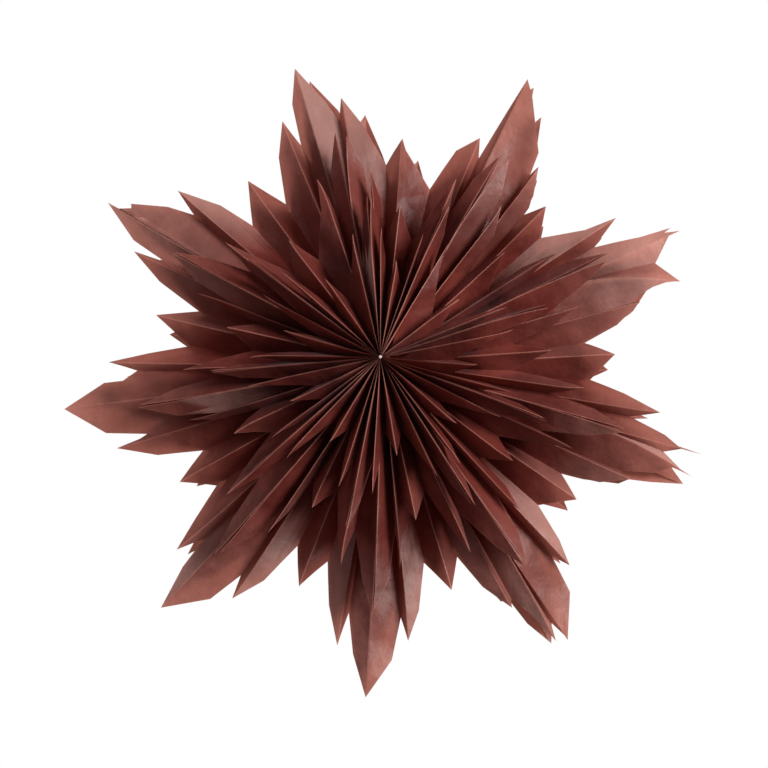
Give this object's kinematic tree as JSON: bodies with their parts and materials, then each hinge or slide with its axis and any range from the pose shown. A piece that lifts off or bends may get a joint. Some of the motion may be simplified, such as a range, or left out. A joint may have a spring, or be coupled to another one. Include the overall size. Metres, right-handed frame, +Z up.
{
  "type": "paper fan star",
  "caption": "Hanging star decoration of pleated paper fans with cut teeth, set in tiers around a glued hub.",
  "frame": {"origin": "middle of the hub, in the plane where the star's front and rear halves meet", "axes": "+Z up as hung, +X to the right seen from the front, the star's axis along Y with its front facing -Y"},
  "size_m": [0.5927, 0.1408, 0.5928],
  "materials": {
    "paper": "matt thin paper",
    "glue": "satin"
  },
  "bodies": {
    "root": {"front_short_fan_1": "paper", "front_short_fan_2": "paper", "front_short_fan_3": "paper", "front_short_fan_4": "paper", "front_short_fan_5": "paper", "front_short_fan_6": "paper", "front_short_fan_7": "paper", "front_short_fan_8": "paper", "front_short_fan_9": "paper", "front_middle_fan_1": "paper", "front_middle_fan_2": "paper", "front_middle_fan_3": "paper", "front_middle_fan_4": "paper", "front_middle_fan_5": "paper", "front_middle_fan_6": "paper", "front_middle_fan_7": "paper", "front_middle_fan_8": "paper", "front_middle_fan_9": "paper", "front_long_fan_1": "paper", "front_long_fan_2": "paper", "front_long_fan_3": "paper", "front_long_fan_4": "paper", "front_long_fan_5": "paper", "front_long_fan_6": "paper", "front_long_fan_7": "paper", "front_long_fan_8": "paper", "front_long_fan_9": "paper", "rear_short_fan_1": "paper", "rear_short_fan_2": "paper", "rear_short_fan_3": "paper", "rear_short_fan_4": "paper", "rear_short_fan_5": "paper", "rear_short_fan_6": "paper", "rear_short_fan_7": "paper", "rear_short_fan_8": "paper", "rear_short_fan_9": "paper", "rear_middle_fan_1": "paper", "rear_middle_fan_2": "paper", "rear_middle_fan_3": "paper", "rear_middle_fan_4": "paper", "rear_middle_fan_5": "paper", "rear_middle_fan_6": "paper", "rear_middle_fan_7": "paper", "rear_middle_fan_8": "paper", "rear_middle_fan_9": "paper", "rear_long_fan_1": "paper", "rear_long_fan_2": "paper", "rear_long_fan_3": "paper", "rear_long_fan_4": "paper", "rear_long_fan_5": "paper", "rear_long_fan_6": "paper", "rear_long_fan_7": "paper", "rear_long_fan_8": "paper", "rear_long_fan_9": "paper", "hub_core": "paper", "front_glue_bead": "glue"}
  },
  "joints": []
}
